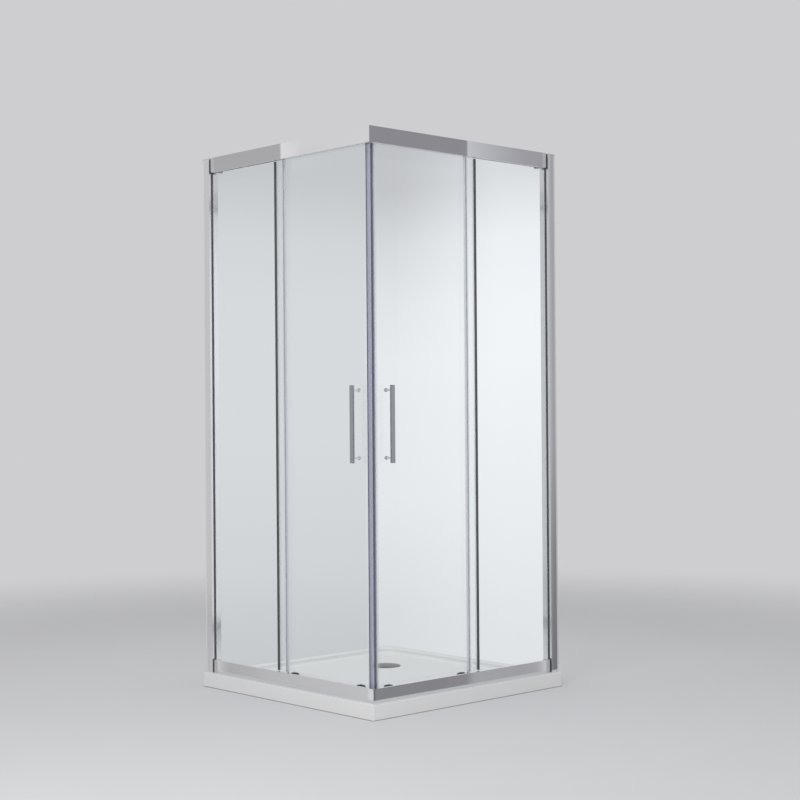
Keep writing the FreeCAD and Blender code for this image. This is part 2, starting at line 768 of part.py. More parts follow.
def make_hangers():
    """Pressed plates on the inner face of the door, each with a riveted roller axle."""
    hangers = []
    plate_back = door_back + 2.5
    plate_low, plate_high = d.track_top - 14, d.track_top + 20
    half_width = 19
    for number, s in enumerate(carriers):
        plate = crosswise("hanger_plate_%d" % number,
                          rectangle(s - half_width, s + half_width, plate_low, plate_high),
                          door_back, plate_back)
        round_edges(plate, 4, lambda point: (near(point.z, plate_low) or near(point.z, plate_high))
                    and abs(abs(point.x - (corner - s).value) - half_width) < 0.01)
        drill(plate, door_back + 1.25, 6, [(s, hanger_bolt_height, 3)])
        axle = rod("hanger_axle_%d" % number, s, top_axle_height, d.axle_radius,
                   (plate_back, d.frame_depth - 2.4))
        collar = rod("hanger_collar_%d" % number, s, top_axle_height, 4, (plate_back, plate_back + 2.6))
        hangers.append(joined("hanger_%d" % number, [plate, axle, collar]))
    return group("front_door_hangers", hangers)


def make_guides():
    """Moulded guide blocks: a plate on the glass and a cheek, with the roller's axle between them."""
    guides = []
    plate_back = door_back + 2.2
    cheek_front, cheek_back = d.frame_depth - 4, d.frame_depth - 2.4
    half_width = 18
    bridge_bottom = guide_top - 16
    for number, s in enumerate(carriers):
        shell = crosswise("guide_shell_%d" % number,
                          rectangle(s - half_width, s + half_width, d.door_bottom + 1, guide_top),
                          door_back, cheek_back)
        round_edges(shell, 11, lambda point: near(point.z, guide_top)
                    and abs(abs(point.x - (corner - s).value) - half_width) < 0.01)
        room = block("guide_room_%d" % number, (s - half_width - 1, s + half_width + 1),
                     (plate_back, cheek_front), (d.door_bottom, bridge_bottom))
        hole = rod("guide_screw_hole_%d" % number, s, guide_bolt_height, 2.5,
                   (door_back - 1, door_back + 8))
        clevis = cut("guide_clevis_%d" % number, shell, group("guide_voids_%d" % number, [room, hole]))
        axle = rod("guide_axle_%d" % number, s, guide_axle_height, d.axle_radius, (plate_back, cheek_front))
        guides.append(joined("guide_%d" % number, [clevis, axle]))
    return group("front_door_guides", guides)


def make_door_bolts():
    """Bolts with a soft washer that clamp the hangers and the guides to the glass."""
    bolts = []
    face = d.door_plane
    for number, s in enumerate(carriers):
        for height, shank_radius, end, nut in (
                (hanger_bolt_height, 3.0, door_back + 5.5, True),
                (guide_bolt_height, 2.5, door_back + 7, False)):
            name = "door_bolt_%d_%s" % (number, "top" if nut else "bottom")
            parts = [rod(name + "_head", s, height, 5, (face - 3.2, face - 1)),
                     rod(name + "_washer", s, height, 5.5, (face - 1, face)),
                     rod(name + "_shank", s, height, shank_radius, (face - 1, end))]
            if nut:
                parts.append(rod(name + "_nut", s, height, 4.5, (door_back + 2.5, end)))
            bolts.append(joined(name, parts))
    return group("front_door_bolts", bolts)


def make_top_wheel(name, s):
    """Nylon roller with a recessed web on both faces."""
    outer, bore = d.top_wheel_radius, d.axle_radius + d.bearing_gap
    width, recess = 5.6, 1.1
    return wheel(name, s, top_axle_height, d.frame_depth - 8.4, [
        (bore, 0), (bore + 2.5, 0), (bore + 2.5, recess), (outer - 2.5, recess), (outer - 2.5, 0),
        (outer - 0.6, 0), (outer, 0.6), (outer, width - 0.6), (outer - 0.6, width), (outer - 2.5, width),
        (outer - 2.5, width - recess), (bore + 2.5, width - recess), (bore + 2.5, width), (bore, width)])


def make_guide_wheel(name, s):
    """Grooved nylon roller that straddles the bead of the bottom rail."""
    groove, bore = d.guide_wheel_radius, d.axle_radius + d.bearing_gap
    rim = groove + 2.5
    return wheel(name, s, guide_axle_height, d.frame_depth - 11.4, [
        (bore, 0), (rim - 0.5, 0), (rim, 0.5), (rim, 1.4), (groove, 2.0), (groove, 4.8), (rim, 5.4),
        (rim, 6.3), (rim - 0.5, 6.8), (bore, 6.8)])


def make_handle_bar():
    """Flat bar with softened edges."""
    side = d.handle_width / 2
    back = d.door_plane - d.handle_standoff
    face = back - d.handle_thickness
    bar = upright("front_handle_bar", [rectangle(d.handle_place - side, d.handle_place + side, face, back)],
                  d.handle_height - d.handle_length / 2, d.handle_height + d.handle_length / 2)
    round_edges(bar, 1.2, lambda point: near(point.y, face - corner))
    return bar


def make_handle_posts():
    """Round spacers between bar and glass, each with a thinner stud through the glass."""
    posts = []
    for number, height in enumerate(handle_posts):
        spacer = rod("handle_spacer_%d" % number, d.handle_place, height, 6,
                     (d.door_plane - d.handle_standoff, d.door_plane))
        thread = rod("handle_stud_%d" % number, d.handle_place, height, 3, (d.door_plane, door_back + 2))
        posts.append(joined("handle_post_%d" % number, [spacer, thread]))
    return group("front_handle_posts", posts)


def make_handle_caps():
    """Round nuts on the inner face, each with a neck that lines the hole in the glass."""
    caps = []
    for number, height in enumerate(handle_posts):
        flange = rod("handle_flange_%d" % number, d.handle_place, height, 9, (door_back, door_back + 5))
        neck = rod("handle_neck_%d" % number, d.handle_place, height, 4.8,
                   (d.door_plane + 0.4, door_back))
        bore = rod("handle_bore_%d" % number, d.handle_place, height, 3, (d.door_plane, door_back + 2))
        caps.append(cut("handle_cap_%d" % number, joined("handle_nut_%d" % number, [flange, neck]), bore))
    return group("front_handle_caps", caps)


# ---- assembly ------------------------------------------------------------------------------------

keep(make_tray())
make_waste()
for make in (make_wall_channel, make_wall_post, make_post_gasket, make_header, make_header_end,
             make_bottom_rail, make_rail_end, make_fixed_glass, make_glazing_strips, make_fixed_seal,
             make_door_glass, make_magnet_profile, make_magnet_strip, make_rear_seal, make_hangers,
             make_guides, make_door_bolts, make_handle_bar, make_handle_posts, make_handle_caps):
    keep_pair(make())

cleat_top = d.total_height - d.frame_skin - 1
keep(make_cleat("header_corner_cleat", cleat_top - 23, cleat_top))
keep(make_cleat("rail_corner_cleat", d.tray_height + 2.2, d.tray_height + 16))

for end, s in zip(("lead", "trail"), carriers):
    keep_pair(make_top_wheel("front_top_wheel_" + end, s))
    keep_pair(make_guide_wheel("front_guide_wheel_" + end, s))

for part, name in ((make_post_cap(), "post_caps"), (make_track_stops(), "track_stops"),
                   (make_post_screws(), "post_screws")):
    keep(group(name, [part, mirrored(part, part.Label.replace("front", "side"))]))

doc.recompute()
for part in doc.Objects:
    if "Invalid" in part.State or "Error" in part.State:
        raise RuntimeError("%s: %s" % (part.Label, part.State))
for piece in pieces:
    if piece.Shape.isNull() or not piece.Shape.isValid() or not piece.Shape.Solids:
        raise RuntimeError("%s has no valid solid" % piece.Label)

os.makedirs("parts", exist_ok=True)
for piece in pieces:
    piece.Shape.exportStep("parts/%s.step" % piece.Label)
print("%d pieces" % len(pieces))
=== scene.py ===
from math import cos, pi, radians, sin

import bmesh
import bpy
from mathutils import Matrix, Vector


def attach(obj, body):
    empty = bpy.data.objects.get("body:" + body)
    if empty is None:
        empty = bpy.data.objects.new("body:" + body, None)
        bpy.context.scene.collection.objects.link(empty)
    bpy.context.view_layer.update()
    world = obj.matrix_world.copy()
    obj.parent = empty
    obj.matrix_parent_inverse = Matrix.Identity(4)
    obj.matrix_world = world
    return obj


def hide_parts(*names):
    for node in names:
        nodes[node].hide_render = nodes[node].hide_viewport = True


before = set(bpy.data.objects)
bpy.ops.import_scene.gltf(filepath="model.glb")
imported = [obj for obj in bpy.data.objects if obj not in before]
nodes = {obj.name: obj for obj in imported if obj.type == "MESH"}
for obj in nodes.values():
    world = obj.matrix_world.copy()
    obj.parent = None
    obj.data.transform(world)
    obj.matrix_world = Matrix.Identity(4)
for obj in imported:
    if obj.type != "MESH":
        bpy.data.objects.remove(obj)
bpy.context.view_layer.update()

# Main sizes of the enclosure, in metres, on one side panel: s runs from the near corner to the wall,
# n from the outer face of the header into the cabin, z up from the floor. A pane and the handle bar are
# given by their outer and inner face in n, the bolt lines, the handle line and the header's end by their s,
# and all tops, bottoms, bolts, axles and handle posts by their height. CORNER is how far the near corner
# lies from both axes of the row frame, in which the waste centre is given.
CORNER = 0.438
TRAY_TOP = 0.050
RAIL_TOP = 0.098
HEADER_BOTTOM = 1.828
HEADER_END = 0.8205
POST_TOP = 1.878
FIXED_GLASS = (0.011, 0.017)
DOOR_GLASS = (0.024, 0.030)
BOLT_LINES = (0.096, 0.430)
HANGER_BOLT = 1.8395
GUIDE_BOLT = 0.086
TOP_AXLE = 1.8593
GUIDE_AXLE = 0.0673
HANDLE_LINE = 0.090
HANDLE_POSTS = (0.826, 1.044)
HANDLE_FACE = -0.006
HANDLE_BACK = 0.002
WASTE_CENTRE = (-0.190, 0.190)

# A side panel's own directions in the row frame: the front runs along -X, the side along +Y.
PANEL = {
    "front": Matrix(((-1, 0, 0, CORNER), (0, 1, 0, -CORNER), (0, 0, 1, 0), (0, 0, 0, 1))),
    "side": Matrix(((0, -1, 0, CORNER), (1, 0, 0, -CORNER), (0, 0, 1, 0), (0, 0, 0, 1))),
}


# ---------------------------------------------------------------- finishes

class Wire:
    """A shader socket that can be used in a sum: each operator adds its Math node."""

    def __init__(self, recipe, socket):
        self.recipe = recipe
        self.socket = socket

    def maths(self, operation, *values):
        """Adds a Math node that works on these values or wires."""
        return self.recipe.add("Math", {"operation": operation}, dict(enumerate(values)))

    def __add__(self, other):
        return self.maths("ADD", self, other)

    def __radd__(self, other):
        return self.maths("ADD", other, self)

    def __sub__(self, other):
        return self.maths("SUBTRACT", self, other)

    def __rsub__(self, other):
        return self.maths("SUBTRACT", other, self)

    def __mul__(self, other):
        return self.maths("MULTIPLY", self, other)

    def __rmul__(self, other):
        return self.maths("MULTIPLY", other, self)

    def __gt__(self, other):
        return self.maths("GREATER_THAN", self, other)

    def __lt__(self, other):
        return self.maths("LESS_THAN", self, other)


class Recipe:
    """The node tree of one finish. It starts empty, and add() puts in one node at a time."""

    def __init__(self, tree):
        self.tree = tree
        tree.nodes.clear()

    def add(self, kind, settings=None, inputs=None, out=0):
        """Adds a node: its settings first, then the value or link of each socket."""
        node = self.tree.nodes.new("ShaderNode" + kind)
        for key, value in (settings or {}).items():
            if key == "stops":
                elements = node.color_ramp.elements
                while len(elements) < len(value):
                    elements.new(1.0)
                for element, (place, tone) in zip(elements, value):
                    element.position = place
                    element.color = (tone, tone, tone, 1)
            else:
                setattr(node, key, value)
        for key, value in (inputs or {}).items():
            if isinstance(value, Wire):
                self.tree.links.new(value.socket, node.inputs[key])
            else:
                node.inputs[key].default_value = value
        return Wire(self, node.outputs[out]) if node.outputs else None

    def place_on(self, axis):
        """How far along one axis of the row frame the point lies, in metres."""
        return self.add("SeparateXYZ", None, {0: self.add("TexCoord", out="Object")}, out=axis)

    def noise(self, scale, stretch=(1, 1, 1), detail=2, roughness=0.5):
        """A noise over the piece in metres, stretched for a grain that runs one way."""
        point = self.add("Mapping", None, {"Vector": self.add("TexCoord", out="Object"), "Scale": stretch})
        return self.add("TexNoise", None, {"Vector": point, "Scale": scale, "Detail": detail,
                                           "Roughness": roughness})

    def between(self, factor, low, high):
        """A colour that goes from low to high as the factor goes from 0 to 1."""
        return self.add("Mix", {"data_type": "RGBA"}, {0: factor, 6: low, 7: high}, out=2)

    def relief(self, height, depth, edge):
        """A surface relief of this depth in metres, over edges that are eased by a small radius."""
        eased = self.add("Bevel", {"samples": 4}, {"Radius": edge})
        return self.add("Bump", None, {"Height": height, "Distance": depth, "Strength": 1.0, "Normal": eased})

    def body(self, **sockets):
        """The surface itself, with its sockets by name and an underscore for each space."""
        named = {key.replace("_", " "): value for key, value in sockets.items()}
        return self.add("BsdfPrincipled", None, named)

    def show(self, shader):
        """Ends the recipe: this shader is what shows."""
        self.add("OutputMaterial", None, {"Surface": shader})


def grey(tone, blue=0.0, red=0.0):
    """A nearly neutral linear colour."""
    return (tone + red, tone, tone + blue, 1)


def finish(name):
    """A new material and its recipe."""
    material = bpy.data.materials.new(name)
    material.use_nodes = True
    return material, Recipe(material.node_tree)


def along(direction, fine, coarse=1.0):
    """Stretch for streaks that run along one axis of the row frame."""
    return tuple(coarse if axis == direction else fine for axis in "XYZ")


def bright_aluminium(direction, matt_inside=False):
    """Polished and anodised extrusion: close to a mirror, with faint die lines along its length. A bottom
    rail is left matt inside, below its top face."""
    outer_wall, top_wall = 0.0015, 0.0005
    material, r = finish("bright_aluminium_" + direction.lower() + ("_rail" if matt_inside else ""))
    lines = r.noise(1.0, along(direction, 900, 1.5), 3, 0.6)
    haze = r.noise(9.0, along(direction, 3))
    colour = r.between(lines * 0.5 + haze * 0.5, grey(0.80, 0.008), grey(0.90, 0.010))
    metal, roughness = 1.0, 0.055 + haze * 0.05 + lines * 0.04
    if matt_inside:
        depth = CORNER - r.place_on("X") if direction == "Y" else r.place_on("Y") + CORNER
        inside = (depth > outer_wall) * (r.place_on("Z") < RAIL_TOP - top_wall)
        metal, roughness = 1 - inside * 0.35, roughness + inside * 0.25
    r.show(r.body(Base_Color=colour, Metallic=metal, Roughness=roughness,
                  Normal=r.relief(lines, 0.000004, 0.0005)))
    return material


def pale_aluminium():
    """Wall channel: matt silver anodising, paler than the polished profiles."""
    material, r = finish("pale_aluminium")
    grain = r.noise(1.0, along("Z", 1400, 6), 3, 0.65)
    r.show(r.body(Base_Color=r.between(grain, grey(0.84, 0.008), grey(0.93, 0.010)), Metallic=0.6,
                  Roughness=0.34 + grain * 0.14, Normal=r.relief(grain, 0.00001, 0.0006)))
    return material


def mill_aluminium():
    """Die-cast inner fittings that nobody polishes."""
    material, r = finish("mill_aluminium")
    skin = r.noise(420, detail=4, roughness=0.7)
    cloud = r.noise(30)
    r.show(r.body(Base_Color=r.between(cloud, grey(0.48), grey(0.60, 0.01)), Metallic=1.0,
                  Roughness=0.38 + skin * 0.2, Normal=r.relief(skin, 0.00005, 0.0004)))
    return material


def plated(name, low, high, roughness):
    """Plated brass with a fine upright rub."""
    material, r = finish(name)
    rub = r.noise(1.0, along("Z", 700, 5), 3)
    spots = r.noise(60)
    r.show(r.body(Base_Color=r.between(spots * 0.5 + rub * 0.5, low, high), Metallic=1.0,
                  Roughness=roughness + rub * 0.10 + spots * 0.03, Normal=r.relief(rub, 0.000004, 0.0005)))
    return material


def steel():
    """Zinc-plated screws and bolts."""
    material, r = finish("steel")
    plating = r.noise(900, detail=3)
    r.show(r.body(Base_Color=r.between(plating, grey(0.52), grey(0.66, 0.01)), Metallic=1.0,
                  Roughness=0.24 + plating * 0.18, Normal=r.relief(plating, 0.00001, 0.0002)))
    return material


def tray_acrylic():
    """Glossy white acrylic: a soft even white under a clear skin, with the slight waves of a formed sheet,
    and a grey line along its foot that is a painted contact shadow where it stands on the floor."""
    foot_shadow_height = 0.0016
    material, r = finish("tray_acrylic")
    waves = r.noise(7.0, detail=1)
    dust = r.noise(260, detail=3)
    white = r.between(waves * 0.6 + dust * 0.4, (0.83, 0.825, 0.82, 1), (0.88, 0.878, 0.875, 1))
    # Painted contact shadow: below this ragged height the foot turns grey.
    foot = r.place_on("Z") < dust * 0.0004 + foot_shadow_height
    colour = r.between(foot, white, grey(0.24))
    r.show(r.body(Base_Color=colour, Roughness=0.26 + waves * 0.08 + dust * 0.04, Coat_Weight=0.5,
                  Coat_Roughness=0.08, Normal=r.relief(waves, 0.0004, 0.0015)))
    return material


def moulded(name, low, high, roughness, skin_scale=700, shine=0.5):
    """Moulded plastic or rubber with a fine eroded skin; its shine is the specular level."""
    material, r = finish(name)
    skin = r.noise(skin_scale, detail=3, roughness=0.6)
    cloud = r.noise(25)
    r.show(r.body(Base_Color=r.between(cloud * 0.6 + skin * 0.4, low, high),
                  Roughness=roughness + skin * 0.14, Specular_IOR_Level=shine,
                  Normal=r.relief(skin, 0.00003, 0.0004)))
    return material


def clear_glass():
    """Toughened clear float: nearly colourless through the face, blue-green in the thickness at its edges."""
    material, r = finish("clear_glass")
    normal = r.add("SeparateXYZ", None, {0: r.add("TexCoord", out="Normal")}, out=2)
    edge = normal.maths("ABSOLUTE", normal) > 0.7
    film = r.noise(5.0)
    face = r.between(film, (0.962, 0.984, 0.990, 1), (0.976, 0.990, 0.994, 1))
    glass = r.body(Base_Color=r.between(edge, face, (0.55, 0.80, 0.78, 1)), Roughness=0.0, IOR=1.5,
                   Transmission_Weight=1.0)
    lamp = r.add("LightPath", out="Is Shadow Ray")
    soft = r.add("LightPath", out="Is Diffuse Ray")
    open_way = r.add("BsdfTransparent", None, {"Color": (0.95, 0.97, 0.975, 1)})
    r.show(r.add("MixShader", None, {0: lamp.maths("MAXIMUM", lamp, soft), 1: glass, 2: open_way}))
    return material


def vinyl(name, low, high, cover):
    """Soft translucent sealing strip, with the slow waves of a pulled profile in a waxy skin."""
    material, r = finish(name)
    flow = r.noise(1.0, along("Z", 260, 6))
    cloud = r.noise(18)
    r.show(r.body(Base_Color=r.between(flow * 0.5 + cloud * 0.5, low, high), Roughness=0.14 + flow * 0.12,
                  IOR=1.46, Alpha=cover, Normal=r.relief(flow, 0.00003, 0.0003)))
    return material


ALUMINIUM = {axis: bright_aluminium(axis) for axis in "XYZ"}
RAIL = {axis: bright_aluminium(axis, True) for axis in "XY"}
PALE = pale_aluminium()
MILL = mill_aluminium()
CHROME = plated("chrome", grey(0.84, 0.006), grey(0.92, 0.008), 0.10)
BRUSHED = plated("brushed_chrome", grey(0.41, 0.022, -0.006), grey(0.51, 0.028, -0.008), 0.16)
# Waste cover finish: the brushed finish made much darker, a painted shade for the dark reflections it shows.
DARKENED_COVER_STEEL = plated("darkened_cover_steel", grey(0.140, 0.003), grey(0.190, 0.004), 0.20)
STEEL = steel()
ACRYLIC = tray_acrylic()
GLASS = clear_glass()
VINYL = vinyl("clear_vinyl", (0.78, 0.79, 0.90, 1), (0.90, 0.91, 0.98, 1), 0.15)
CRYSTAL_VINYL = vinyl("crystal_vinyl", (0.70, 0.72, 0.86, 1), (0.82, 0.84, 0.94, 1), 0.08)
MILKY_VINYL = vinyl("milky_vinyl", (0.84, 0.85, 0.93, 1), (0.92, 0.93, 0.98, 1), 0.88)
TINTED_VINYL = vinyl("tinted_vinyl", (0.54, 0.56, 0.74, 1), (0.68, 0.70, 0.88, 1), 0.34)
SMOKE_VINYL = vinyl("smoke_vinyl", (0.12, 0.13, 0.18, 1), (0.20, 0.21, 0.27, 1), 0.62)
WHITE_PLASTIC = moulded("white_plastic", grey(0.72), grey(0.80), 0.32)
GREY_PLASTIC = moulded("grey_plastic", grey(0.50, 0.008), grey(0.58, 0.010), 0.34)
BLACK_PLASTIC = moulded("black_plastic", grey(0.010), grey(0.020), 0.40)
BLACK_RUBBER = moulded("black_rubber", grey(0.012, 0.003), grey(0.024, 0.005), 0.52, 520, shine=0.2)
MAGNET_RUBBER = moulded("magnet_rubber", (0.018, 0.020, 0.046, 1), (0.034, 0.037, 0.074, 1), 0.46, 520)
KEEPER_STRIP = moulded("keeper_strip", (0.46, 0.47, 0.60, 1), (0.56, 0.57, 0.70, 1), 0.40, 520)
GASKET_RUBBER = moulded("gasket_rubber", grey(0.090, 0.006), grey(0.125, 0.008), 0.50, 520)
# Dark strips at the magnet profile's jaw end: painted shade.
SHADE_LINE_RUBBER = moulded("shade_line_rubber", (0.030, 0.032, 0.050, 1), (0.050, 0.053, 0.078, 1), 0.42, 520)
SILICONE = moulded("silicone", grey(0.66), grey(0.74), 0.30, 300)
NYLON = moulded("white_nylon", grey(0.66, -0.02), grey(0.76, -0.01), 0.30)


# ---------------------------------------------------------------- making pieces

# The crease angle in degrees, and in metres the play of a seal on the glass, the wall of its jaws, the
# thickness of a clear washer and the radius at which a tyre sits on its bearing.
CREASE = 35
PLAY = 0.0001
JAW = 0.0014
WASHER = 0.0008
RACE = 0.0052


def solid(name, bm, material):
    """An object of a bmesh, in its finish."""
    mesh = bpy.data.meshes.new(name)
    bm.to_mesh(mesh)
    bm.free()
    mesh.materials.append(material)
    obj = bpy.data.objects.new(name, mesh)
    bpy.context.scene.collection.objects.link(obj)
    return obj


def piece(name, bm, body, slot, material, replaces=()):
    """A piece of the enclosure that rides its body. Its folds above the crease angle stay crisp."""
    bmesh.ops.remove_doubles(bm, verts=bm.verts, dist=0.000002)
    bmesh.ops.recalc_face_normals(bm, faces=bm.faces)
    obj = solid(name, bm, material)
    obj.data.shade_smooth()
    obj.data.set_sharp_from_angle(angle=radians(CREASE))
    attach(obj, body)
    if replaces:
        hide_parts(*replaces)


def side_piece(side, name, bm, body, slot, material, *replaces):
    """A piece that is drawn on its side panel and stands for nodes of that side."""
    bmesh.ops.transform(bm, matrix=PANEL[side], verts=bm.verts)
    piece(side + "_" + name, bm, body, slot, material, [side + "_" + node for node in replaces])


def door_piece(side, name, bm, slot, material, *replaces):
    """A side piece that slides with its door."""
    side_piece(side, name, bm, side + "_door", slot, material, *replaces)


def made_since(bm, before):
    """The vertices that weren't there before."""
    return [v for v in bm.verts if v not in before]


def corners_in(made):
    """The vertices among what an operator made."""
    return [v for v in made if isinstance(v, bmesh.types.BMVert)]


def edges_in(made, rim):
    """The edges among what an operator made that lie in its rim."""
    return [e for e in made if isinstance(e, bmesh.types.BMEdge) and all(v in rim for v in e.verts)]


def edges_at(verts):
    """The edges that meet at these vertices, each once."""
    return list(dict.fromkeys(e for v in verts for e in v.link_edges))


def turned(bm, outline, centre, axis="Z", steps=48, closed=False):
    """A turned part: its half outline of (radius, distance along the axis) spun once round."""
    turn = {"Z": Matrix.Identity(4), "Y": Matrix.Rotation(-pi / 2, 4, "X")}[axis]
    before = set(bm.verts)
    points = [bm.verts.new((radius, 0, height)) for radius, height in outline]
    pairs = list(zip(points, points[1:])) + ([(points[-1], points[0])] if closed else [])
    edges = [bm.edges.new(pair) for pair in pairs]
    bmesh.ops.spin(bm, geom=points + edges, cent=(0, 0, 0), axis=(0, 0, 1), angle=2 * pi, steps=steps,
                   use_merge=True)
    bmesh.ops.remove_doubles(bm, verts=made_since(bm, before), dist=0.000001)
    bmesh.ops.transform(bm, matrix=Matrix.Translation(centre) @ turn, verts=made_since(bm, before))


def pulled(bm, points, way):
    """A bar: the face through these points, pulled along a vector."""
    face = bm.faces.new([bm.verts.new(point) for point in points])
    made = bmesh.ops.extrude_face_region(bm, geom=[face], use_keep_orig=True)["geom"]
    bmesh.ops.translate(bm, verts=corners_in(made), vec=way)


def strip(bm, section, bottom, top):
    """A sealing profile: its section of (s, n) drawn at the lower end and pulled up to the top."""
    pulled(bm, [(s, n, bottom) for s, n in section], (0, 0, top - bottom))


def lay(bm, section, start, end):
    """A bead or bar along the side: its section of (n, z) drawn at the near end and pulled to the wall."""
    pulled(bm, [(start, n, z) for n, z in section], (end - start, 0, 0))


def oblong(left, low, right, high):
    """The four corners of a plain section."""
    return [(left, low), (right, low), (right, high), (left, high)]


def both_ways(half, width):
    """The outline of a wheel or nut whose two faces are alike, from its first half."""
    return half + [(radius, width - place) for radius, place in reversed(half)]


def washer(bm, inner, outer, low, high, centre):
    """A flat ring across n, from low to high, round a bolt."""
    turned(bm, oblong(inner, low, outer, high), centre, "Y", closed=True)


def socket_head(bm, centre, outward, radius, height, key, sides, dome):
    """A screw head that faces along n: a rim with a chamfer round a recess of so many sides."""
    before = set(bm.verts)
    ring = bmesh.ops.create_circle(bm, segments=32, radius=radius)["verts"]
    edges = edges_at(ring)
    for inset, lift in ((0.0, height - dome), (dome * 1.4, dome)):
        made = bmesh.ops.extrude_edge_only(bm, edges=edges)["geom"]
        rim = corners_in(made)
        shrink = (radius - inset) / radius
        bmesh.ops.scale(bm, vec=(shrink, shrink, 1), verts=rim)
        bmesh.ops.translate(bm, vec=(0, 0, lift), verts=rim)
        edges = edges_in(made, rim)
    well = bmesh.ops.create_circle(bm, segments=sides, radius=key, matrix=Matrix.Translation((0, 0, height)))
    lip = edges_at(well["verts"])
    bmesh.ops.bridge_loops(bm, edges=edges + lip)
    made = bmesh.ops.extrude_edge_only(bm, edges=lip)["geom"]
    bottom = corners_in(made)
    bmesh.ops.translate(bm, vec=(0, 0, -height * 0.7), verts=bottom)
    bmesh.ops.contextual_create(bm, geom=edges_in(made, bottom))
    turn = Matrix.Rotation(-pi / 2 * outward, 4, "X")
    bmesh.ops.transform(bm, matrix=Matrix.Translation(centre) @ turn, verts=made_since(bm, before))


def block(bm, low, high, ease, segments=2):
    """A bar or block between two corners, its edges eased by a radius."""
    middle = [(a + b) / 2 for a, b in zip(low, high)]
    size = Matrix.Diagonal([b - a for a, b in zip(low, high)] + [1])
    made = bmesh.ops.create_cube(bm, size=1, matrix=Matrix.Translation(middle) @ size)["verts"]
    bmesh.ops.bevel(bm, geom=edges_at(made), offset=ease, offset_type="OFFSET", affect="EDGES",
                    segments=segments, profile=0.5, material=-1)


def handle_bar(side):
    """Flat bar handle with soft edges."""
    width, bottom, top = 0.016, 0.810, 1.060
    bm = bmesh.new()
    block(bm, (HANDLE_LINE - width / 2, HANDLE_FACE, bottom),
          (HANDLE_LINE + width / 2, HANDLE_BACK, top), ease=0.0013, segments=3)
    door_piece(side, "handle_bar_dressed", bm, "chrome", BRUSHED, "handle_bar")


def handle_posts(side):
    """Two spacers with a foot and a neck, a clear washer under each, and a stud through the glass."""
    face, back = DOOR_GLASS
    foot, stud = face - WASHER, back + 0.002
    bm = bmesh.new()
    washers = bmesh.new()
    for height in HANDLE_POSTS:
        centre = (HANDLE_LINE, 0, height)
        turned(bm, [(0, HANDLE_BACK), (0.0040, HANDLE_BACK), (0.0040, HANDLE_BACK + 0.0020),
                    (0.0030, HANDLE_BACK + 0.0032), (0.0030, foot - 0.0044), (0.0046, foot - 0.0030),
                    (0.0046, foot - 0.0004), (0.0042, foot), (0.0028, foot), (0.0028, stud), (0, stud)],
               centre, "Y")
        washer(washers, 0.0030, 0.0052, foot, face, centre)
    door_piece(side, "handle_posts_dressed", bm, "chrome", CHROME, "handle_posts")
    door_piece(side, "handle_washers", washers, "clear_vinyl", VINYL)


def handle_caps(side):
    """Domed nuts on the inner face, each on a clear washer, with a hexagon socket."""
    back = DOOR_GLASS[1]
    seat = back + WASHER
    bm = bmesh.new()
    washers = bmesh.new()
    for height in HANDLE_POSTS:
        socket_head(bm, (HANDLE_LINE, seat, height), 1, radius=0.0064, height=0.0042, key=0.0020, sides=6,
                    dome=0.0010)
        washer(washers, 0.0036, 0.0068, back, seat, (HANDLE_LINE, 0, height))
    door_piece(side, "handle_caps_dressed", bm, "chrome", CHROME, "handle_caps")
    door_piece(side, "handle_cap_washers", washers, "clear_vinyl", VINYL)


def clip(edge, mouth, glass):
    """Section of the clip that grips a pane: a channel from the mouth to just past the glass edge."""
    face, back = glass
    way = 1 if edge > mouth else -1
    past, seat, grip = edge + way * JAW, edge + way * PLAY, mouth + way * JAW
    return [(mouth, face - JAW / 2), (grip, face - JAW), (past, face - JAW), (past, back + JAW),
            (grip, back + JAW), (mouth, back + JAW / 2), (mouth, back + PLAY), (seat, back + PLAY),
            (seat, face - PLAY), (mouth, face - PLAY)]


def rear_seal(side):
    """Clear clip on the rear edge of the door, with a black fin that wipes the fixed pane."""
    bottom, top = RAIL_TOP + 0.002, HEADER_BOTTOM - 0.002
    bm = bmesh.new()
    strip(bm, clip(0.501, 0.4905, DOOR_GLASS), bottom, top)
    door_piece(side, "rear_seal_clip", bm, "clear_vinyl", VINYL, "rear_seal")
    near, far = 0.4918, 0.4998
    bm = bmesh.new()
    strip(bm, [(near, 0.0225), (far, 0.0225), (far, 0.0196), (far - 0.0010, 0.0177), (near + 0.0022, 0.0177),
               (near, 0.0194)], bottom, top)
    door_piece(side, "rear_seal_fin", bm, "black_rubber", BLACK_RUBBER)


def fixed_seal(side):
    """Clear clip on the free edge of the fixed pane, a milky lining over that edge, and a smoke-grey fin
    towards the door."""
    face, back = FIXED_GLASS
    bottom, top = RAIL_TOP + 0.001, HEADER_BOTTOM - 0.001
    bm = bmesh.new()
    strip(bm, clip(0.441, 0.455, FIXED_GLASS), bottom, top)
    side_piece(side, "fixed_seal_clip", bm, "frame", "clear_vinyl", VINYL, "fixed_seal")
    bm = bmesh.new()
    strip(bm, oblong(0.4403, face + PLAY, 0.4408, back - PLAY), bottom, top)
    side_piece(side, "fixed_seal_lining", bm, "frame", "clear_vinyl", MILKY_VINYL)
    near, far, tip = 0.4526, 0.4541, 0.0234
    bm = bmesh.new()
    strip(bm, [(near, 0.0185), (far, 0.0185), (far, tip - 0.0008), (far - 0.0004, tip), (near + 0.0004, tip),
               (near, tip - 0.0008)], bottom, top)
    side_piece(side, "fixed_seal_fin", bm, "frame", "clear_vinyl", SMOKE_VINYL)


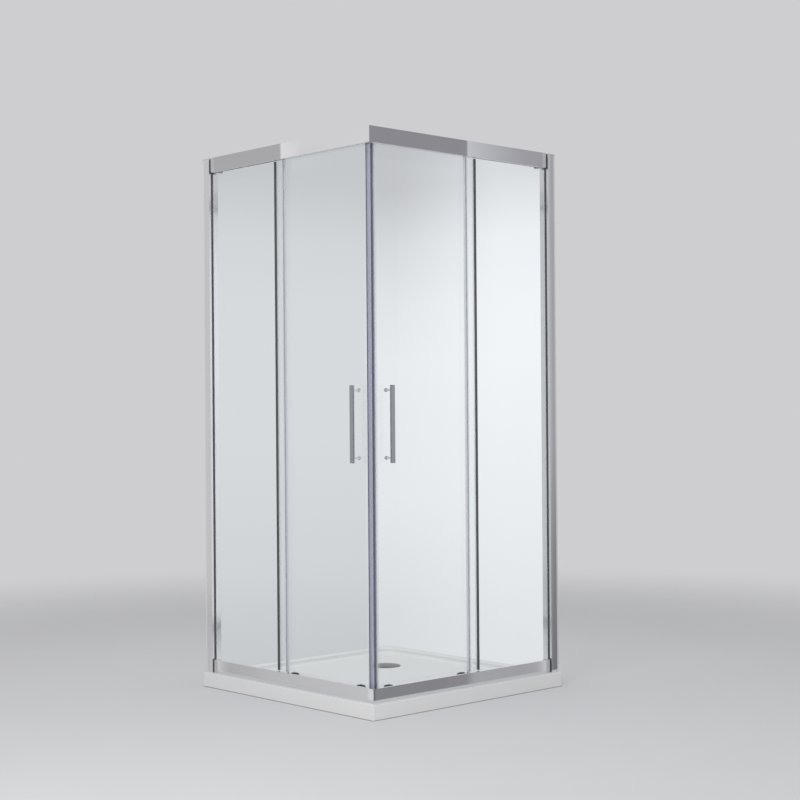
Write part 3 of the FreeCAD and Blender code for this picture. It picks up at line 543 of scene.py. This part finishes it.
def post_gasket(side):
    """Glazing gasket of the wall post: black on the outer side, clear on the cabin side. Its lip slims down
    between the header and the rail, and fills the gap to their end caps."""
    face, back = FIXED_GLASS
    outside, middle, inside = face - 0.0034, face + 0.003, back + 0.0035
    pane_end, deep = 0.8602, 0.8625

    def outer(lip):
        return [(lip, face - 0.0012), (0.849, outside), (deep, outside), (deep, middle), (pane_end, middle),
                (pane_end, face - PLAY), (lip - 0.0002, face - PLAY)]

    def inner(lip):
        return [(lip - 0.0004, back + PLAY), (pane_end, back + PLAY), (pane_end, middle), (deep, middle),
                (deep, inside), (lip + 0.0004, inside)]

    wide, slim = 0.8412, 0.8474
    for name, section, slot, material, *replaced in (
            ("outer", outer, "black_rubber", GASKET_RUBBER, "post_gasket"),
            ("inner", inner, "clear_vinyl", VINYL)):
        bm = bmesh.new()
        strip(bm, section(wide), TRAY_TOP, RAIL_TOP)
        strip(bm, section(slim), RAIL_TOP, HEADER_BOTTOM)
        strip(bm, section(wide), HEADER_BOTTOM, POST_TOP)
        side_piece(side, "post_gasket_" + name, bm, "frame", slot, material, *replaced)


def magnet_profile(side):
    """Closing profile: clear jaws on the glass edge, a nose with the 45 degree face, and in it the chamber
    that holds the magnet. The front one is the tinted keeper half, with dark strips at its jaw end that paint
    the shade line there."""
    face, back = DOOR_GLASS
    gap, edge, mouth, seat = 0.00025, 0.040, 0.049, 0.0399
    low, high = face - JAW, back + JAW
    near, far = face + 0.0006, back - 0.0006
    first, last = gap + 0.001, gap + 0.0092
    bottom, top = 0.062, 1.850
    front = side == "front"
    bm = bmesh.new()
    strip(bm, [(edge, low), (mouth - JAW, low), (mouth, face - JAW / 2), (mouth, face - PLAY),
               (edge, face - PLAY)], bottom, top)
    strip(bm, [(edge, back + PLAY), (mouth, back + PLAY), (mouth, back + JAW / 2), (mouth - JAW, high),
               (edge, high)], bottom, top)
    door_piece(side, "magnet_profile_jaws", bm, "clear_vinyl", VINYL, "magnet_profile")
    bm = bmesh.new()
    strip(bm, [(low + gap, low), (seat, low), (seat, high), (high + gap, high), (far + first, far),
               (far + last, far), (near + last, near), (near + first, near), (low + gap + PLAY, low + PLAY)],
          bottom, top)
    door_piece(side, "magnet_profile_nose", bm, "clear_vinyl", TINTED_VINYL if front else CRYSTAL_VINYL)
    bm = bmesh.new()
    strip(bm, oblong(seat - 0.0004, low + 0.0012, seat - PLAY, high - 0.0002), bottom, top)
    door_piece(side, "magnet_profile_wall", bm, "clear_vinyl", MILKY_VINYL)
    bm = bmesh.new()
    strip(bm, [(near + first + PLAY, near + PLAY), (near + last - 2 * PLAY, near + PLAY),
               (far + last - 2 * PLAY, far - PLAY), (far + first + PLAY, far - PLAY)],
          bottom + 0.002, top - 0.002)
    door_piece(side, "magnet_strip_dressed", bm, "magnet_rubber", KEEPER_STRIP if front else MAGNET_RUBBER,
               "magnet_strip")
    if front:
        # Painted shade: dark strips along the jaw end stand for its shade line.
        bm = bmesh.new()
        strip(bm, [(seat - 0.0019, low + PLAY), (seat - PLAY, low + PLAY), (seat - PLAY, low + 0.0009),
                   (seat - 0.0012, low + 0.0006)], bottom, top)
        strip(bm, [(seat + 0.0003, low - 0.0003), (seat + 0.0030, low - 0.0003), (seat + 0.0032, low),
                   (seat + 0.0001, low)], bottom, top)
        door_piece(side, "magnet_profile_seam", bm, "black_rubber", SHADE_LINE_RUBBER)


def door_bolts(side):
    """Hexagon socket bolts through the glass, each with a soft washer, and nuts on the hangers."""
    face, back = DOOR_GLASS
    seat = face - 0.001
    nut = both_ways([(0.0030, 0.0025), (0.0042, 0.0025), (0.0045, 0.0029)], 0.0080)
    bm = bmesh.new()
    washers = bmesh.new()
    for place in BOLT_LINES:
        for height, shank, end in ((HANGER_BOLT, 0.0030, back + 0.0055), (GUIDE_BOLT, 0.0025, back + 0.0070)):
            socket_head(bm, (place, seat, height), -1, radius=0.005, height=0.0022, key=0.0017, sides=6,
                        dome=0.0005)
            turned(bm, [(0, seat), (shank, seat), (shank, end - 0.0006), (shank - 0.0006, end), (0, end)],
                   (place, 0, height), "Y", 24)
            washer(washers, shank + PLAY, 0.0055, seat, face, (place, 0, height))
        turned(bm, nut, (place, back, HANGER_BOLT), "Y", 6, closed=True)
    door_piece(side, "door_bolts_dressed", bm, "steel", STEEL, "door_bolts")
    door_piece(side, "door_bolt_washers", washers, "black_rubber", BLACK_RUBBER)


def post_screws():
    """Cross recess screws on the cabin side of both posts."""
    line, seat = 0.872, 0.042
    bm = bmesh.new()
    for height in (0.250, 0.950, 1.650):
        for panel in PANEL.values():
            before = set(bm.verts)
            socket_head(bm, (line, seat, height), 1, radius=0.0040, height=0.0018, key=0.0015, sides=4,
                        dome=0.0007)
            turned(bm, [(0, -0.006), (0.0012, -0.006), (0.0019, -0.005), (0.0019, 0), (0, 0)],
                   (line, seat, height), "Y", 20)
            bmesh.ops.transform(bm, matrix=panel, verts=made_since(bm, before))
    piece("post_screws_dressed", bm, "frame", "steel", STEEL, ("post_screws",))


def wheel(side, name, centre, tyre, width):
    """A roller: nylon tyre on a steel bearing with a ring groove between its races on both faces."""
    bore, body = 0.00255, side + "_" + name
    bm = bmesh.new()
    turned(bm, both_ways(tyre, width), centre, "Y", 64, closed=True)
    side_piece(side, name + "_tyre", bm, body, "white_nylon", NYLON, name)
    bm = bmesh.new()
    turned(bm, both_ways([(bore, 0.0003), (bore + 0.0008, 0.0003), (bore + 0.0009, 0.0007),
                          (RACE - 0.0009, 0.0007), (RACE - 0.0008, 0.0003), (RACE, 0.0003)], width),
           centre, "Y", closed=True)
    side_piece(side, name + "_bearing", bm, body, "steel", STEEL)


def wheels(side):
    """Two rollers in the header and two grooved ones over the bead of the bottom rail."""
    top_tyre = [(RACE, 0), (0.0066, 0), (0.0070, 0.0009), (0.0088, 0.0009), (0.0092, 0), (0.0104, 0),
                (0.0109, 0.0005), (0.0110, 0.0014)]
    guide_tyre = [(RACE, 0), (0.0110, 0), (0.0114, 0.0003), (0.0115, 0.0007), (0.0114, 0.0013),
                  (0.0090, 0.0020)]
    top_face, top_width = 0.0356, 0.0056
    guide_face, guide_width = 0.0326, 0.0068
    for end, place in zip(("lead", "trail"), BOLT_LINES):
        wheel(side, "top_wheel_" + end, (place, top_face, TOP_AXLE), top_tyre, top_width)
        wheel(side, "guide_wheel_" + end, (place, guide_face, GUIDE_AXLE), guide_tyre, guide_width)


def guide_buttons(side):
    """Raised press button with a ridge on the cheek of each guide block."""
    cheek, button, ridge = 0.0415, 0.0432, 0.0437
    bm = bmesh.new()
    for place in BOLT_LINES:
        block(bm, (place - 0.009, cheek, 0.0835), (place + 0.009, button, 0.0925), ease=0.0006)
        block(bm, (place - 0.006, button - 0.0004, 0.0872), (place + 0.006, ridge, 0.0888), ease=0.0003)
    door_piece(side, "guide_buttons", bm, "grey_plastic", GREY_PLASTIC)


def header_filler(side):
    """Pale filler strips in the open underside of the header: one outside the panes along its whole length,
    one in the glazing groove where no fixed pane stands in it."""
    under, top = HEADER_BOTTOM + 0.0001, HEADER_BOTTOM + 0.0020
    bm = bmesh.new()
    for outer, inner, slope, rise, start, end in ((0.0019, 0.0093, 0.0005, 0.0003, 0.0095, HEADER_END),
                                                  (0.0095, 0.0185, 0.0010, 0.0005, 0.0190, 0.4390)):
        lay(bm, [(outer, under + rise), (outer + slope, under), (inner - slope, under), (inner, under + rise),
                 (inner, top), (outer, top)], start, end)
    side_piece(side, "header_filler", bm, "frame", "clear_vinyl", MILKY_VINYL)


def silicone(side):
    """Sealing bead where the bottom rail stands on the tray."""
    reach, end = 0.0021, 0.879
    bm = bmesh.new()
    lay(bm, [(-reach, TRAY_TOP), (0.0004, TRAY_TOP), (0.0004, TRAY_TOP + 0.0024),
             (-0.0002, TRAY_TOP + 0.0023), (-0.0013, TRAY_TOP + 0.0012)], -reach, end)
    side_piece(side, "silicone_bead", bm, "frame", "clear_vinyl", SILICONE)


def waste_cover():
    """Thin domed disc with a rolled rim, on three feet with a peg."""
    x, y = WASTE_CENTRE
    foot_circle = 0.048
    bm = bmesh.new()
    turned(bm, [(0, 0.0365), (0.014, 0.0362), (0.028, 0.0353), (0.042, 0.0337), (0.050, 0.0325),
                (0.0545, 0.0317), (0.0556, 0.0312), (0.0560, 0.0304), (0.0560, 0.0296), (0.0556, 0.0291),
                (0.0550, 0.0291), (0.0545, 0.0297), (0.0540, 0.0306), (0.048, 0.0315), (0.034, 0.0333),
                (0.017, 0.0346), (0, 0.0350)], (x, y, 0), steps=96)
    for angle in (90, 210, 330):
        foot = (x + foot_circle * cos(radians(angle)), y + foot_circle * sin(radians(angle)), 0)
        turned(bm, [(0, 0.0320), (0.0040, 0.0320), (0.0040, 0.0272), (0.0036, 0.0268), (0.0024, 0.0268),
                    (0.0024, 0.0256), (0.0018, 0.0250), (0, 0.0250)], foot, steps=24)
    # Its finish is darkened to paint the dark reflections on the dome: painted shade.
    piece("waste_cover_dressed", bm, "waste_cover", "chrome", DARKENED_COVER_STEEL, ("waste_cover",))


for side in PANEL:
    door_bolts(side)
    wheels(side)
    guide_buttons(side)
    header_filler(side)
    silicone(side)
    handle_bar(side)
    handle_posts(side)
    handle_caps(side)
    rear_seal(side)
    fixed_seal(side)
    post_gasket(side)
    magnet_profile(side)
post_screws()
waste_cover()


# ---------------------------------------------------------------- finishes on the frame's own solids

def dress(prefix, finishes):
    """Gives a finish to each CAD solid that shows. The names of one side share its prefix."""
    for name, material in finishes:
        for slot in nodes[prefix + name].material_slots:
            slot.material = material


for side, run in (("front", "X"), ("side", "Y")):
    dress(side + "_", (
        ("wall_channel", PALE), ("wall_post", ALUMINIUM["Z"]), ("header", ALUMINIUM[run]),
        ("header_end", GREY_PLASTIC), ("bottom_rail", RAIL[run]), ("rail_end", GREY_PLASTIC),
        ("fixed_glass", GLASS), ("glazing_strips", MILKY_VINYL), ("door_glass", GLASS),
        ("door_hangers", MILL), ("door_guides", BLACK_PLASTIC)))
dress("", (
    ("shower_tray", ACRYLIC), ("waste_flange", STEEL), ("waste_seals", BLACK_RUBBER),
    ("waste_nut", WHITE_PLASTIC), ("post_caps", GREY_PLASTIC), ("header_corner_cleat", MILL),
    ("rail_corner_cleat", MILL), ("track_stops", BLACK_RUBBER)))


# ---------------------------------------------------------------- studio

BACKDROP = (0.617, 0.617, 0.631, 1)


def pale_world():
    """Backdrop tone for every ray that looks at it, and an even light for the surfaces."""
    world = bpy.data.worlds.new("studio")
    bpy.context.scene.world = world
    world.use_nodes = True
    r = Recipe(world.node_tree)
    seen = r.add("LightPath", out="Is Camera Ray")
    for ray in ("Is Glossy Ray", "Is Transmission Ray"):
        seen = seen.maths("MAXIMUM", seen, r.add("LightPath", out=ray))
    light = r.add("Background", None, {"Color": (0.98, 0.985, 1.0, 1), "Strength": 0.46})
    backdrop = r.add("Background", None, {"Color": BACKDROP, "Strength": 1.0})
    r.add("OutputWorld", None, {"Surface": r.add("MixShader", None, {0: seen, 1: light, 2: backdrop})})


def floor():
    """Pale floor that takes the shadow and fades into the backdrop with distance."""
    material, r = finish("pale_floor")
    distance = r.add("VectorMath", {"operation": "LENGTH"}, {0: r.add("TexCoord", out="Object")}, out="Value")
    fade = r.add("MapRange", {"interpolation_type": "SMOOTHSTEP"},
                 {"Value": distance, "From Min": 1.7, "From Max": 4.5})
    paint = r.body(Base_Color=r.between(r.noise(3.0), grey(0.628, 0.012), grey(0.648, 0.013)), Roughness=0.85,
                   Specular_IOR_Level=0.1)
    r.show(r.add("MixShader", None, {0: fade, 1: paint, 2: r.add("BsdfTransparent")}))
    bm = bmesh.new()
    bmesh.ops.create_grid(bm, x_segments=2, y_segments=2, size=9)
    solid("floor", bm, material)


def area_lamp(name, place, aim, size, power):
    """A soft square lamp that lights the enclosure and is seen in nothing."""
    lamp = bpy.data.lights.new(name, "AREA")
    lamp.size = size
    lamp.energy = power
    obj = bpy.data.objects.new(name, lamp)
    obj.location = place
    obj.rotation_euler = (Vector(aim) - Vector(place)).to_track_quat("-Z", "Y").to_euler()
    bpy.context.scene.collection.objects.link(obj)
    obj.visible_glossy = obj.visible_transmission = obj.visible_camera = False


def card(name, corners, shade, seen_by, cover=None):
    """A glowing studio card that only mirrors or only glass see, so that it puts no light on anything: what
    it shows there is painted light. Its cover goes to 0 where it fades out."""
    material, r = finish(name)
    light = r.add("Emission", None, {"Color": shade(r), "Strength": 1.0})
    if cover:
        light = r.add("MixShader", None, {0: cover(r), 1: r.add("BsdfTransparent"), 2: light})
    r.show(light)
    bm = bmesh.new()
    bmesh.ops.contextual_create(bm, geom=[bm.verts.new(corner) for corner in corners])
    obj = solid(name, bm, material)
    for ray in ("camera", "diffuse", "glossy", "transmission", "shadow"):
        setattr(obj, "visible_" + ray, ray == seen_by)


def ramp(r, axis, stops):
    """A grey that runs along one axis of the row frame through (place in metres, tone) stops."""
    first, last = stops[0][0], stops[-1][0]
    step = r.add("MapRange", None, {"Value": r.place_on(axis), "From Min": first, "From Max": last})
    return r.add("ValToRGB", {"stops": [((place - first) / (last - first), tone) for place, tone in stops]},
                 {"Fac": step})


def tinted(r, tone, tint):
    """A tone with a tint over it."""
    return r.add("Mix", {"data_type": "RGBA", "blend_type": "MULTIPLY"}, {0: 1.0, 6: tone, 7: tint}, out=2)


def mirror_card(name, axis, heights, tint, stops, foot=None):
    """A glowing card close in front of one profile, which mirrors it: the tones of its stops are a painted
    reflection on that profile. It fades out past both ends of its stops, slowly where it passes the near
    corner, and a foot darkens it towards the floor, a painted shade in that reflection."""
    away = CORNER + 0.037
    corner_fade, end_fade = 0.05, 0.003
    low, high = stops[0][0], stops[-1][0]
    start = low - (corner_fade if axis == "Y" and low < 0 else end_fade)
    end = high + (corner_fade if axis == "X" else end_fade)
    corners = [(place, -away, z) if axis == "X" else (away, place, z)
               for place, z in oblong(start, heights[0], end, heights[1])]

    def shade(r):
        tone = tinted(r, ramp(r, axis, stops), tint)
        return tinted(r, tone, ramp(r, "Z", foot)) if foot else tone

    def cover(r):
        return ramp(r, axis, ((start, 0.0), (low, 1.0), (high, 1.0), (end, 0.0)))

    card(name, corners, shade, "glossy", cover)


def mirror_cards():
    """Flags and pale cards in front of the header, the rail and the right post: glowing cards whose tone
    ramps paint the light and dark reflections on these profiles.
    """
    header, rail, post = (1.80, 1.91), (0.052, 0.094), (0.05, 1.91)
    mirror_card("header_left_card", "X", header, (1, 1, 1.01, 1),
                ((-0.444, 0.460), (-0.42, 0.452), (-0.055, 0.452), (-0.050, 0.815), (0.06, 0.72),
                 (0.40, 0.735)))
    mirror_card("header_right_card", "Y", header, (1, 1, 1.08, 1),
                ((-0.44, 0.292), (0.040, 0.292), (0.046, 0.61), (0.12, 0.53), (0.30, 0.40), (0.438, 0.365)))
    mirror_card("rail_left_card", "X", rail, (1, 1, 1.03, 1),
                ((-0.444, 0.66), (-0.425, 0.64), (-0.395, 0.525), (-0.36, 0.47), (-0.12, 0.545),
                 (0.10, 0.575), (0.370, 0.60), (0.375, 0.73), (0.450, 0.73)))
    mirror_card("rail_right_card", "Y", rail, (1, 1, 1.05, 1),
                ((-0.44, 0.17), (-0.398, 0.17), (-0.393, 0.262), (-0.15, 0.264), (0.02, 0.285),
                 (0.055, 0.400), (0.09, 0.420), (0.30, 0.402), (0.365, 0.425), (0.39, 0.48), (0.42, 0.62),
                 (0.438, 0.60)))
    mirror_card("post_right_card", "Y", post, (0.99, 1, 1.06, 1),
                ((0.444, 0.60), (0.452, 0.56), (0.470, 0.40), (0.490, 0.44)),
                ((0.05, 0.47), (0.30, 0.56), (0.50, 0.66), (0.85, 0.93), (1.05, 1.0)))


def cabin_cards():
    """Pale glowing cards behind the cabin that show only through its glass; their tone ramps paint the light
    and shade seen through the panes and the doors, darker near the header and at the foot.
    """
    back, far, bottom, top = 0.4495, 1.2, 0.05, 2.15

    def door(r):
        return ramp(r, "Z", ((bottom, 0.73), (0.19, 0.745), (0.64, 0.84), (1.17, 0.86), (1.39, 0.815),
                             (1.62, 0.72), (1.84, 0.565), (top, 0.55)))

    def left(r):
        pane = ramp(r, "Z", ((bottom, 0.60), (0.41, 0.675), (0.90, 0.725), (1.39, 0.72), (1.62, 0.685),
                             (1.84, 0.59), (top, 0.55)))
        return tinted(r, r.between(ramp(r, "Y", ((0.335, 0.0), (0.372, 1.0))), pane, door(r)),
                      (0.98, 1.0, 1.02, 1))

    def right(r):
        pane = ramp(r, "Z", ((bottom, 0.79), (0.19, 0.81), (0.64, 0.875), (1.17, 0.94), (1.39, 0.935),
                             (1.62, 0.90), (1.84, 0.745), (top, 0.70)))
        return tinted(r, r.between(ramp(r, "X", ((-0.35, 0.0), (0.15, 1.0))), door(r), pane),
                      (0.99, 1.0, 1.025, 1))

    card("glass_left_card", [(-back, y, z) for y, z in oblong(-back, bottom, back, top)], left,
         "transmission")
    card("glass_right_card", [(x, back, z) for x, z in oblong(-back, bottom, far, top)], right,
         "transmission")


def camera():
    """Stands where the perspective of the photograph puts it."""
    place = (4.0984, -3.7612, 0.9711)
    azimuth, pitch, roll = radians(47.49), radians(0.027), radians(-0.440)
    width, focal, centre = 800, 1566.2, (378.8, 412.0)
    ahead = Vector((-sin(azimuth) * cos(pitch), cos(azimuth) * cos(pitch), sin(pitch)))
    level = Vector((cos(azimuth), sin(azimuth), 0))
    upright = level.cross(ahead)
    right = cos(roll) * level + sin(roll) * upright
    up = cos(roll) * upright - sin(roll) * level
    data = bpy.data.cameras.new("camera")
    data.sensor_width = 36
    data.lens = focal * data.sensor_width / width
    data.shift_x = (width / 2 - centre[0]) / width
    data.shift_y = (centre[1] - width / 2) / width
    obj = bpy.data.objects.new("camera", data)
    turn = Matrix((right, up, -ahead)).transposed().to_4x4()
    obj.matrix_world = Matrix.Translation(place) @ turn
    bpy.context.scene.collection.objects.link(obj)
    bpy.context.scene.camera = obj


bpy.context.scene.view_settings.view_transform = "Standard"
pale_world()
floor()
area_lamp("key", (1.6, -2.9, 1.7), (0.3, -0.3, 0.2), 1.6, 30)
area_lamp("overhead", (0.2, -0.2, 4.2), (0, 0, 0), 3.6, 72)
area_lamp("left_fill", (-1.8, -2.6, 2.2), (-0.2, 0, 0.7), 1.8, 3)
area_lamp("right_fill", (3.4, 0.0, 1.6), (0.4, 0.0, 0.3), 1.6, 8)
mirror_cards()
cabin_cards()
camera()
